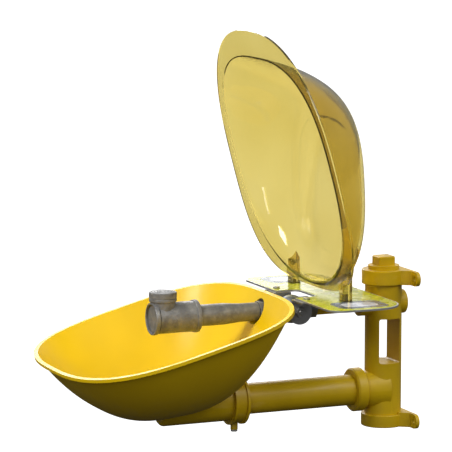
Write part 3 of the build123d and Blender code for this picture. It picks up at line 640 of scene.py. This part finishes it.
@dataclass
class Studio:
    """The pale floor, the soft lights and the camera."""

    middle: Vector = field(default_factory=lambda: Vector((0.0, -0.25, 0.12)))
    floor_z: float = -0.9
    floor_size: float = 90.0
    floor_glow: float = 0.75
    lens: float = 241.0
    sensor: float = 36.0
    azimuth: float = 66.965
    elevation: float = 8.206
    camera_place: tuple[float, float, float] = (3.6971, -1.8374, 0.7606)
    sky_heights: tuple[float, float] = (-0.25, 0.35)
    sky_levels: tuple[float, float] = (0.03, 0.66)

    def camera(self) -> None:
        """Sets up the camera."""
        data = bpy.data.cameras.new("view")
        data.lens = self.lens
        data.sensor_width = self.sensor
        camera = bpy.data.objects.new("view", data)
        camera.location = self.camera_place
        camera.rotation_euler = (
            math.radians(90.0 - self.elevation), 0.0, math.radians(self.azimuth)
        )
        bpy.context.collection.objects.link(camera)
        bpy.context.scene.camera = camera

    def lamp(
        self, name: str, place: Vector, size: tuple[float, float], power: float, tint: Colour
    ) -> None:
        """Adds an oblong soft light that faces the object.

        Args:
            name: Its name.
            place: Where it stands.
            size: Its width and height.
            power: Its power in watts.
            tint: Its colour.
        """
        data = bpy.data.lights.new(name, "AREA")
        data.shape = "RECTANGLE"
        data.size, data.size_y = size
        data.energy = power
        data.color = tint
        lamp = bpy.data.objects.new(name, data)
        lamp.location = place
        lamp.rotation_euler = (self.middle - place).to_track_quat("-Z", "Y").to_euler()
        bpy.context.collection.objects.link(lamp)

    def world(self) -> None:
        """Makes a plain sky that is pale above and dim below."""
        sky = bpy.data.worlds.new("sky")
        sky.use_nodes = True
        nodes, links = sky.node_tree.nodes, sky.node_tree.links
        nodes.clear()
        place = nodes.new("ShaderNodeTexCoord")
        split = nodes.new("ShaderNodeSeparateXYZ")
        fade = nodes.new("ShaderNodeMapRange")
        for index, value in enumerate((*self.sky_heights, *self.sky_levels), start=1):
            fade.inputs[index].default_value = value
        light = nodes.new("ShaderNodeBackground")
        out = nodes.new("ShaderNodeOutputWorld")
        links.new(place.outputs["Generated"], split.inputs[0])
        links.new(split.outputs["Z"], fade.inputs[0])
        links.new(fade.outputs[0], light.inputs["Strength"])
        links.new(light.outputs[0], out.inputs["Surface"])
        bpy.context.scene.world = sky

    def floor(self) -> None:
        """Lays the plain pale floor."""
        bpy.ops.object.select_all(action="DESELECT")
        bpy.ops.mesh.primitive_plane_add(size=self.floor_size, location=(0.0, 0.0, self.floor_z))
        floor = bpy.context.object
        floor.name = "floor"
        graph = Graph("pale_floor")
        floor.data.materials.append(graph.surface(
            Base_Color=(0.9, 0.9, 0.9, 1.0), Roughness=0.9,
            Emission_Color=(1.0, 1.0, 1.0, 1.0), Emission_Strength=self.floor_glow,
        ))
        floor.visible_diffuse = False
        floor.visible_glossy = False

    def make(self) -> None:
        """Sets up everything."""
        bpy.context.scene.view_settings.view_transform = "Standard"
        self.camera()
        self.world()
        self.floor()
        self.lamp("key", Vector((0.4, -2.1, 1.9)), (0.9, 0.9), 55.0, (1.0, 0.99, 0.97))
        self.lamp("side", Vector((1.8, 0.7, 1.9)), (1.2, 1.2), 20.0, (0.97, 0.98, 1.0))
        self.lamp("back", Vector((-2.2, 0.2, 1.2)), (1.4, 1.4), 30.0, (1.0, 1.0, 1.0))
        self.lamp("strip", Vector((2.3, -1.9, 0.9)), (0.16, 1.5), 9.0, (1.0, 0.98, 0.9))
        log.info("studio ready")


def finishes() -> dict[str, bpy.types.Material]:
    """Returns every finish by its name."""
    made: dict[str, Finish] = {
        "yellow_paint": PowderCoat("yellow_paint"),
        "bowl_plastic": MouldedPlastic("bowl_plastic"),
        "black_rubber": SoftRubber("black_rubber"),
        "white_seat": SoftRubber("white_seat", (0.75, 0.74, 0.70), (0.62, 0.61, 0.56)),
        "stainless": TurnedMetal("stainless"),
        "galvanised": Galvanised("galvanised", skin=0.12),
        "pipe": Galvanised("pipe", skin=0.15, spangle=220.0),
        "casting": Galvanised("casting", skin=0.85, spangle=120.0),
        "valve_metal": TurnedMetal("valve_metal", (0.32, 0.36, 0.43), (0.16, 0.18, 0.22), 0.34),
        "head_metal": Galvanised("head_metal"),
        "plate_metal": TurnedMetal(
            "plate_metal", (0.62, 0.62, 0.62), (0.42, 0.42, 0.41), 0.30, (0.05, 1.0, 1.0)
        ),
        "label": PrintedFilm("label"),
        "panel_ink": PrintedFilm("panel_ink", (0.085, 0.115, 0.15), (0.13, 0.16, 0.20)),
        "white_ink": PrintedFilm("white_ink", (0.62, 0.64, 0.70), (0.52, 0.54, 0.58)),
        "clear_yellow": ClearPlastic("clear_yellow"),
    }
    return {name: finish.material() for name, finish in made.items()}


def main() -> None:
    """Builds the scene, piece by piece."""
    bench = Bench(finishes())
    bench.clear()
    Studio().make()
    Coats(bench).make()
    head = SprayHead(bench)
    head.bands()
    head.thread()
    SignPlate(bench).panels()


if __name__ == "__main__":
    main()
